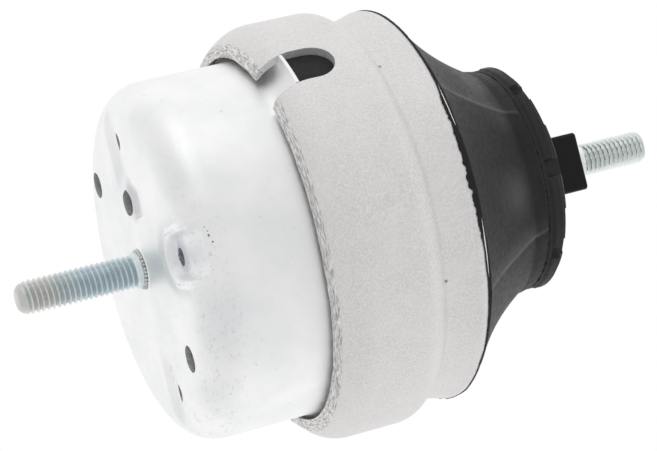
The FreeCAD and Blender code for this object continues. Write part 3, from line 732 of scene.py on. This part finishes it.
def ribbon(name, inner, outer, thickness, columns):
    # inner and outer give (radius, height) for each column; the ribbon has a top and a bottom skin.
    angles = np.linspace(0.0, 2.0 * math.pi, columns, endpoint=False)
    rows = []
    for (radius, height), lift in ((inner, 0.0), (outer, 0.0), (outer, thickness), (inner, thickness)):
        ring_radius = radius + lift
        rows.append(np.column_stack((ring_radius * np.cos(angles), ring_radius * np.sin(angles), height)))
    section = [(inner[0][0], inner[1][0]), (outer[0][0], outer[1][0]),
               (outer[0][0] + thickness, outer[1][0]), (inner[0][0] + thickness, inner[1][0])]
    return mesh_piece(name, np.array(rows), turned_faces(section, columns), 50.0)


RIBBON_COLUMNS = 1200
ribbon_degrees = np.linspace(0.0, 360.0, RIBBON_COLUMNS, endpoint=False)


def patch(middle, half_width, soft=3.0):
    # 1 inside a stretch of the ring, 0 outside it, with a soft end.
    return smooth_step((half_width + soft - np.abs(turn_from(ribbon_degrees, middle))) / (2.0 * soft))


wide_skin = np.maximum.reduce([patch(83.0, 21.0), 0.7 * patch(205.0, 30.0), patch(318.0, 22.0)])
bare_line = np.maximum.reduce([patch(66.0, 6.5, 4.0), patch(107.0, 8.0, 5.0), patch(152.0, 10.0, 6.0),
                               patch(250.0, 9.0)])
flash_width = 0.12 + (0.3 + 1.1 * ragged(RIBBON_COLUMNS, 22, 12)) * ragged(RIBBON_COLUMNS, 21, 2) * (
    0.15 + 0.85 * wide_skin)
flash_high = RIM - 0.12 - 0.5 * bare_line + 0.14 * ragged(RIBBON_COLUMNS, 23, 3)
flash_low = np.minimum(RIM - 0.35 - 0.5 * wide_skin, flash_high - 0.15) - flash_width


def rim_radius(height):
    # Radius of the sleeve's outside near its rim, from the same arcs as the sleeve.
    share = np.clip((height - FUNNEL) / (RIM - 0.3 - FUNNEL), 0.0, 1.0)
    crowned = FUNNEL_R + (RIM_R + 0.1 - FUNNEL_R) * share + RIM_CROWN * 4.0 * share * (1.0 - share)
    share = np.clip((height - NECK) / (FUNNEL - NECK), 0.0, 1.0)
    hollow = NECK_R + (FUNNEL_R - NECK_R) * share - FUNNEL_HOLLOW * 4.0 * share * (1.0 - share)
    return np.where(height > FUNNEL, crowned, hollow)


rim_flash = ribbon("rim_flash", (rim_radius(flash_low) - 0.02, flash_low),
                   (rim_radius(flash_high) - 0.02, flash_high), 0.27, RIBBON_COLUMNS)
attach(rim_flash, "root")

# %% Flash at the parting line
tear = ragged(RIBBON_COLUMNS, 31, 1) ** 2 * ragged(RIBBON_COLUMNS, 32, 10) ** 2
tear = 0.12 + 0.75 * tear
inner_r = np.full(RIBBON_COLUMNS, PARTING_R - 0.4)
parting_flash = ribbon("parting_flash", (inner_r, np.full(RIBBON_COLUMNS, PARTING)),
                       (PARTING_R - 0.1 + tear, np.full(RIBBON_COLUMNS, PARTING + 0.06)),
                       0.0, RIBBON_COLUMNS)
for vertex in parting_flash.data.vertices[2 * RIBBON_COLUMNS:]:
    vertex.co.z += 0.14 * MM
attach(parting_flash, "root")
print("flash widths:", round(float(flash_width.max()), 2), round(float(tear.max()), 2))

# %% [markdown]
# ## Building materials from nodes
# A material is a small graph. One function adds a node of any kind: it sets it up, sets or links its
# inputs and gives back one of its outputs, so one call can stand inside another. Colours are written in
# hex, as on a paint chart, and linear() turns them into Blender's linear light. A pattern's size is given
# in millimetres: a noise with a scale of 1000 / size has features of about that size. A Mix node has
# sockets for numbers, vectors and colours. For colours the share is input 0, the colours are inputs 6 and
# 7, and the result is output 2.

# %% Node helper
def linear(code):
    parts = [int(code[i:i + 2], 16) / 255.0 for i in (1, 3, 5)]
    return [p / 12.92 if p <= 0.04045 else ((p + 0.055) / 1.055) ** 2.4 for p in parts] + [1.0]


def add_node(tree, kind, inputs=(), output=0, **settings):
    # Inputs come in their order, or in a dictionary by number or name. Text among them is a hex colour.
    node = tree.nodes.new("ShaderNode" + kind)
    for key, value in settings.items():
        setattr(node, key, value)
    inputs = inputs if isinstance(inputs, dict) else dict(enumerate(inputs))
    for key, value in inputs.items():
        if isinstance(value, bpy.types.NodeSocket):
            tree.links.new(value, node.inputs[key])
        else:
            node.inputs[key].default_value = linear(value) if isinstance(value, str) else value
    return node.outputs[output] if node.outputs else node


# %% Material helpers
def pattern(place, size_mm, detail=3.0, rough=0.55):
    return {"Vector": place, "Scale": 1.0 / (size_mm * MM), "Detail": detail, "Roughness": rough}


def empty_tree(owner):
    owner.use_nodes = True
    owner.node_tree.nodes.clear()
    return owner.node_tree


def new_material(name, metallic, roughness, specular=0.5):
    material = bpy.data.materials.new(name)
    tree = empty_tree(material)
    shader = add_node(tree, "BsdfPrincipled", {
        "Metallic": metallic, "Roughness": roughness, "Specular IOR Level": specular})
    add_node(tree, "OutputMaterial", [shader])
    return material, tree, shader, add_node(tree, "TexCoord", output="Object")


def overlap(tree, share, *others):
    # Where several marks or regions meet: the product of their shares.
    for other in others:
        share = add_node(tree, "Math", [share, other], operation="MULTIPLY")
    return share


def weighted_sum(tree, *terms):
    total = None
    for value, weight in terms:
        share = value if weight == 1.0 else overlap(tree, value, weight)
        total = share if total is None else add_node(tree, "Math", [total, share], operation="ADD")
    return total


def around_axis(tree, place):
    # The three coordinates, and the distance from the axis, for marks that follow the turned shape.
    parts = add_node(tree, "SeparateXYZ", [place]).node.outputs
    squares = [add_node(tree, "Math", [parts[side], 2.0], operation="POWER") for side in ("X", "Y")]
    square = add_node(tree, "Math", squares, operation="ADD")
    return parts, add_node(tree, "Math", [square], operation="SQRT")


def round_spot(tree, place, degrees, radius, height, size, strength):
    # The strength inside a round spot on the surface, given by its angle, radius, height and size. It
    # serves for nicks and for patches of painted shade.
    turn = math.radians(degrees)
    centre = (radius * math.cos(turn) * MM, radius * math.sin(turn) * MM, height * MM)
    apart = add_node(tree, "VectorMath", [place, centre], "Value", operation="DISTANCE")
    return add_node(tree, "MapRange", [apart, size * MM, size * 0.5 * MM, 0.0, strength])


def finish_surface(tree, shader, tone, layers, gloss, relief, strength, depth_mm):
    # Each finish ends alike: other colours are laid over the first, each with its share, then come a
    # roughness that varies, if it does, and a fine relief.
    for share, colour in layers:
        tone = add_node(tree, "Mix", {0: share, 6: tone, 7: colour}, 2, data_type="RGBA")
    bump = add_node(tree, "Bump", {"Height": relief, "Strength": strength, "Distance": depth_mm * MM})
    for socket, value in (("Base Color", tone), ("Roughness", gloss), ("Normal", bump)):
        if value is not None:
            tree.links.new(value, shader.node.inputs[socket])


def paint(piece, material):
    piece.data.materials.clear()
    piece.data.materials.append(material)


# %% [markdown]
# ## Drawn aluminium, bright satin
# The cup is pure aluminium sheet, drawn and then washed, nearly white and soft in its gloss. The eye sees
# broad pale reflections, faint lines along the draw, and a few grey scuffs and specks from handling. The
# metal keeps its reflection colour, and the roughness is what makes it read as satin.

# %% Cup finish
drawn_aluminium, tree, shader, place = new_material("drawn_aluminium_satin", 1.0, 0.42)
clouds = add_node(tree, "TexNoise", pattern(place, 14.0, 4.0))
fine = add_node(tree, "TexNoise", pattern(place, 0.9, 4.0, 0.65))
specks = add_node(tree, "TexNoise", pattern(place, 1.7, 5.0, 0.75))
cloud_share = add_node(tree, "MapRange", [clouds, 0.35, 0.7, 0.0, 1.0])
speck_share = overlap(tree, add_node(tree, "MapRange", [specks, 0.65, 0.71, 0.0, 0.5]),
                      add_node(tree, "MapRange", [clouds, 0.42, 0.6, 0.25, 1.0]))
# The round corner of the pot has been set down and rubbed, so its scuffs are denser.
parts = add_node(tree, "SeparateXYZ", [place]).node.outputs
flat_place = add_node(tree, "Mapping", {"Vector": place, "Scale": (1.0, 0.45, 1.6)})
scuffs = add_node(tree, "TexNoise", pattern(flat_place, 1.4, 6.0, 0.72))
scuff_share = overlap(tree, add_node(tree, "MapRange", [parts["Z"], 12.0 * MM, 6.0 * MM, 0.0, 1.0]),
                      add_node(tree, "MapRange", [parts["Z"], -0.5 * MM, 2.0 * MM, 0.1, 1.0]),
                      add_node(tree, "MapRange", [parts["X"], 14.0 * MM, -6.0 * MM, 0.3, 1.0]),
                      add_node(tree, "MapRange", [scuffs, 0.55, 0.7, 0.0, 0.45]))
layers = [(cloud_share, "#f1f2f3"), (speck_share, "#a2a2a6"), (scuff_share, "#b3b2b8")]
# Nicks have torn edges, so the place is shaken by a fine noise before the nicks are measured.
shake = add_node(tree, "TexNoise", pattern(place, 1.2, 2.0, 0.5), "Color")
shift = add_node(tree, "VectorMath", {0: shake, "Scale": 0.9 * MM}, operation="SCALE")
ragged_place = add_node(tree, "VectorMath", [place, shift], operation="ADD")
for degrees, radius, height, size in (
        (76.9, 40.6, 4.3, 0.22), (81.7, 40.9, 5.0, 0.2), (83.1, 41.1, 5.4, 0.26),
        (84.3, 41.2, 5.5, 0.34), (86.7, 41.4, 5.9, 0.36), (131.0, 41.9, 8.5, 0.32)):
    layers.append((round_spot(tree, ragged_place, degrees, radius + 0.3, height + 0.45, size, 0.85), "#3c3c40"))
# Painted shade: a grey patch beside the pilot hole, and a painted bluish-grey reflection on the floor of
# the pocket.
for x, y, height, reach, strength, grey in (
        (PAD_X + 0.4, PILOT_Y + 4.6, 0.6, 6.0, 0.6, "#b9b9bd"),
        (DIMPLE_X, DIMPLE_Y - 1.0, DIMPLE_DEPTH, 5.2, 0.55, "#d3d8e2")):
    turn = math.degrees(math.atan2(y, x))
    layers.append((round_spot(tree, place, turn, math.hypot(x, y), height, reach, strength), grey))
along_draw = add_node(tree, "Mapping", {"Vector": place, "Scale": (1.0, 1.0, 0.08)})
draw_lines = add_node(tree, "TexNoise", pattern(along_draw, 0.8, 4.0, 0.7))
relief = weighted_sum(tree, (draw_lines, 0.5), (fine, 0.35), (clouds, 3.0))
gloss = add_node(tree, "MapRange", [fine, 0.3, 0.7, 0.36, 0.5])
finish_surface(tree, shader, "#fcfcfc", layers, gloss, relief, 0.35, 0.06)
paint(drawn_cup, drawn_aluminium)

# %% [markdown]
# ## Rolled aluminium, blasted
# The sleeve was blasted before the rubber was moulded to it, so its grey is matt and grainy. The grain of
# the real surface is about 0.2 mm; it is drawn at 0.45 mm, because finer grain would not show.

# %% Sleeve finish
blasted_aluminium, tree, shader, place = new_material("rolled_aluminium_blasted", 1.0, 0.62)
grain = add_node(tree, "TexNoise", pattern(place, 0.45, 3.0, 0.6))
blotches = add_node(tree, "TexNoise", pattern(place, 9.0, 4.0, 0.6))
parts, from_axis = around_axis(tree, place)
# Sheared metal tears in streaks along the cut, so its noise is stretched round the axis.
turn_round = add_node(tree, "Math", [parts["Y"], parts["X"]], operation="ARCTAN2")
ring_place = add_node(tree, "CombineXYZ", [overlap(tree, turn_round, 9.0 * MM), from_axis, parts["Z"]])
shear_marks = add_node(tree, "TexNoise", pattern(ring_place, 0.4, 4.0, 0.7))
cut_share = add_node(tree, "MapRange", [shear_marks, 0.38, 0.58, 0.0, 1.0])
cut_tone = add_node(tree, "Mix", {0: cut_share, 6: "#b4b2b0", 7: "#f8f7f6"}, 2, data_type="RGBA")
inside_line = add_node(tree, "MapRange", [
    from_axis, (CRIMP_OUTER_R + 0.12) * MM, (CRIMP_OUTER_R + 0.02) * MM, 0.0, 1.0])
below_bend = add_node(tree, "MapRange", [
    parts["Z"], (CRIMP_EDGE + 2.2) * MM, (CRIMP_EDGE + 2.1) * MM, 0.0, 1.0])
on_cut = overlap(tree, inside_line, below_bend)
layers = [(add_node(tree, "MapRange", [grain, 0.34, 0.66, 0.0, 1.0]), "#f1f0ef"),
          (add_node(tree, "MapRange", [blotches, 0.4, 0.65, 0.0, 0.3]), "#efeeee"), (on_cut, cut_tone)]
for degrees, radius, height, size in (
        (47.0, 45.8, 55.5, 0.55), (114.2, 45.8, 55.3, 0.6),
        (69.8, 49.3, 32.7, 0.4), (70.8, 49.3, 32.9, 0.4)):
    layers.append((round_spot(tree, place, degrees, radius, height, size, 0.8), "#4c4c4e"))
relief = weighted_sum(tree, (grain, 1.0), (overlap(tree, on_cut, shear_marks), 4.0))
gloss = add_node(tree, "MapRange", [grain, 0.3, 0.7, 0.56, 0.72])
finish_surface(tree, shader, "#dcdada", layers, gloss, relief, 0.6, 0.12)
paint(rolled_sleeve, blasted_aluminium)

# %% [markdown]
# ## Natural rubber, moulded
# Black rubber with a little wax and chalk on its skin: nearly black in the hollows and cloudy grey where
# the bloom sits, with painted light along the mould lines and painted shade under the cap. It is no metal
# and has a soft sheen, so metallic is 0 and roughness is middling.

# %% Rubber finish
moulded_black, tree, shader, place = new_material("natural_rubber_moulded", 0.0, 0.55, 0.23)
bloom = add_node(tree, "TexNoise", pattern(place, 17.0, 5.0, 0.6))
skin = add_node(tree, "TexNoise", pattern(place, 1.3, 4.0, 0.6))
dust = add_node(tree, "TexNoise", pattern(place, 0.8, 2.0, 0.5))
# The bloom attribute holds the chalk, and also painted light on the mould lines and painted shade under
# the cap.
bloom_and_light_marks = add_node(tree, "Attribute", output="Fac", attribute_name="bloom")
chalk_and_painted_light = overlap(tree, bloom_and_light_marks, add_node(tree, "MapRange", [bloom, 0.3, 0.62, 0.35, 1.0]))
layers = [(chalk_and_painted_light, "#545456"), (add_node(tree, "MapRange", [dust, 0.72, 0.78, 0.0, 0.35]), "#77777a")]
relief = weighted_sum(tree, (skin, 1.0), (bloom, 2.0))
gloss = add_node(tree, "MapRange", [skin, 0.3, 0.7, 0.46, 0.64])
finish_surface(tree, shader, "#151516", layers, gloss, relief, 0.3, 0.15)
for piece in (moulded_rubber, rim_flash, parting_flash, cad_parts["bellows"],
              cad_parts["decoupler_membrane"]):
    paint(piece, moulded_black)

# %% [markdown]
# ## Dip-coated casting
# The core's square key is cast aluminium under a thin black coat. The coat is smoother than the rubber,
# deep black, and it lets the casting's skin show as a fine unevenness.

# %% Core finish
dip_coat, tree, shader, place = new_material("cast_core_dip_coat", 0.0, 0.42, 0.2)
cast_skin = add_node(tree, "TexNoise", pattern(place, 0.7, 4.0, 0.6))
layers = [(add_node(tree, "MapRange", [cast_skin, 0.35, 0.7, 0.0, 1.0]), "#141415")]
gloss = add_node(tree, "MapRange", [cast_skin, 0.3, 0.7, 0.38, 0.5])
finish_surface(tree, shader, "#0c0c0d", layers, gloss, cast_skin, 0.3, 0.08)
paint(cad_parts["core"], dip_coat)

# %% [markdown]
# ## Zinc plate on rolled threads
# The studs are steel with bright zinc, which looks pale blue-grey. The thread's roots carry painted shade
# and its crests a painted highlight, so the colour follows the distance from the axis.

# %% Stud finish
zinc_plate, tree, shader, place = new_material("zinc_plated_steel", 1.0, 0.34)
parts, from_axis = around_axis(tree, place)
# Painted highlight on the thread's crests and painted shade in its roots, by the distance from the axis.
crest_highlight_share = add_node(tree, "MapRange", [
    from_axis, (THREAD_R - THREAD_DEPTH) * MM, THREAD_R * MM, 0.0, 1.0])
tint = add_node(tree, "TexNoise", pattern(place, 3.0, 3.0, 0.6))
scratch = add_node(tree, "TexNoise", pattern(place, 0.5, 3.0, 0.6))
warm_tip = add_node(tree, "MapRange", [parts["Z"], -15.0 * MM, -24.0 * MM, 0.0, 1.0])
# The upper stud was cleaned, so it is paler, down into its roots.
cleaned = add_node(tree, "MapRange", [parts["Z"], 60.0 * MM, 100.0 * MM, 0.0, 1.0])
# Roots and crests each have their plain tone, the warm tone of the lower tip, and the cleaned tone.
thread_tones = []
for plain, warm, clean in (("#c3d0d6", "#d2d1ce", "#e4eae8"), ("#e6eff0", "#efedea", "#f7fbf9")):
    tone = plain
    for share, colour in ((warm_tip, warm), (cleaned, clean)):
        tone = add_node(tree, "Mix", {0: share, 6: tone, 7: colour}, 2, data_type="RGBA")
    thread_tones.append(tone)
root, crest = thread_tones
dulled = overlap(tree, add_node(tree, "MapRange", [tint, 0.45, 0.7, 0.0, 0.6]),
                 add_node(tree, "MapRange", [cleaned, 0.0, 1.0, 1.0, 0.25]))
# In the knurl's grooves by the base the colour is darker brown: dirt, and painted shade between the teeth.
near_base = add_node(tree, "Math", [parts["Z"], 0.0, 0.95 * MM], operation="COMPARE")
groove_dirt_and_shade_noise = add_node(tree, "TexNoise", pattern(place, 0.7, 2.0))
groove_dirt_and_shade = overlap(tree, add_node(tree, "MapRange", [from_axis, 4.64 * MM, 4.4 * MM, 0.0, 1.0]),
                    add_node(tree, "MapRange", [groove_dirt_and_shade_noise, 0.35, 0.6, 0.2, 0.8]))
layers = [(add_node(tree, "MapRange", [crest_highlight_share, 0.4, 0.98, 0.0, 1.0]), crest), (dulled, "#bccace"),
          (overlap(tree, near_base, groove_dirt_and_shade), "#8f8780")]
gloss = add_node(tree, "MapRange", [tint, 0.3, 0.7, 0.28, 0.42])
finish_surface(tree, shader, root, layers, gloss, scratch, 0.25, 0.05)
for piece in (cup_stud, core_stud):
    paint(piece, zinc_plate)

# %% [markdown]
# ## Cast aluminium inside
# The nozzle plates are die-cast and never seen again once the mount is closed. They keep their CAD form
# and get the dull, slightly pitted grey of a casting.

# %% Plate finish
die_cast, tree, shader, place = new_material("aluminium_die_cast", 1.0, 0.5)
cast_grain = add_node(tree, "TexNoise", pattern(place, 1.5, 4.0, 0.6))
finish_surface(tree, shader, "#a9aaac", [(cast_grain, "#cfd0d2")], None, cast_grain, 0.3, 0.1)
for node in ("upper_nozzle_plate", "lower_nozzle_plate"):
    paint(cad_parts[node], die_cast)
print("materials:", len(bpy.data.materials))

# %% [markdown]
# ## Floor and light
# A plain pale floor lies under the lower stud. The photograph looks from below that level, so the floor
# shows only from its upper side, and it throws no light or shade on the mount. The light is a white room,
# a little darker on the camera's side, with one large soft lamp at the top of the picture.

# %% Floor
floor_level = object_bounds()[0][2] - 0.2 * MM
FLOOR_HALF = 3.0
floor_mesh = bpy.data.meshes.new("floor")
floor_corners = [(x * FLOOR_HALF, y * FLOOR_HALF, floor_level)
                 for x, y in ((-1.0, -1.0), (1.0, -1.0), (1.0, 1.0), (-1.0, 1.0))]
floor_mesh.from_pydata(floor_corners, [], [(0, 1, 2, 3)])
floor = add_object("floor", floor_mesh)
floor.visible_shadow = False
floor.visible_diffuse = False
floor.visible_glossy = False
floor_paint = bpy.data.materials.new("pale_floor")
tree = empty_tree(floor_paint)
matt = add_node(tree, "BsdfDiffuse", ["#f2f2f2"])
clear = add_node(tree, "BsdfTransparent")
from_below = add_node(tree, "NewGeometry", output="Backfacing")
add_node(tree, "OutputMaterial", [add_node(tree, "MixShader", [from_below, matt, clear])])
floor_mesh.materials.append(floor_paint)

# %% White room
ROOM_LIGHT = 1.0
NEAR_SIDE_LIGHT = 0.76
NEAR_SIDE = (0.0, 0.8, -0.6)
world = bpy.data.worlds.new("white_room")
bpy.context.scene.world = world
tree = empty_tree(world)
rays = add_node(tree, "LightPath").node.outputs
straight = [rays["Is Camera Ray"], rays["Is Transmission Ray"]]
straight = add_node(tree, "Math", straight, operation="MAXIMUM")
direction = add_node(tree, "TexCoord", output="Generated")
facing = add_node(tree, "VectorMath", [direction, NEAR_SIDE], "Value", operation="DOT_PRODUCT")
room = add_node(tree, "MapRange", [facing, -0.6, 0.6, ROOM_LIGHT, NEAR_SIDE_LIGHT],
                interpolation_type="SMOOTHSTEP")
light = add_node(tree, "Background", ["#ffffff", room])
white = add_node(tree, "Background", ["#ffffff", 1.0])
add_node(tree, "OutputWorld", [add_node(tree, "MixShader", [straight, light, white])])

# %% Soft lamp
LAMP_PLACE = Vector((620.0, 260.0, -60.0)) * MM
LAMP_AIM = Vector((0.0, 0.0, 50.0)) * MM
LAMP_SIZE_MM, LAMP_WATTS = 500.0, 0.3
lamp_data = bpy.data.lights.new("lamp_above", "AREA")
lamp_data.shape = "SQUARE"
lamp_data.size = LAMP_SIZE_MM * MM
lamp_data.energy = LAMP_WATTS
lamp = add_object("lamp_above", lamp_data)
towards = (LAMP_AIM - LAMP_PLACE).to_track_quat("-Z", "Y").to_matrix().to_4x4()
lamp.matrix_world = Matrix.Translation(LAMP_PLACE) @ towards
print("lamp:", lamp.name, "of", lamp_data.energy, "W")

# %% [markdown]
# ## Finish
# Colours are shown as they are, with the Standard view.

# %% Colour view
bpy.context.scene.view_settings.view_transform = "Standard"
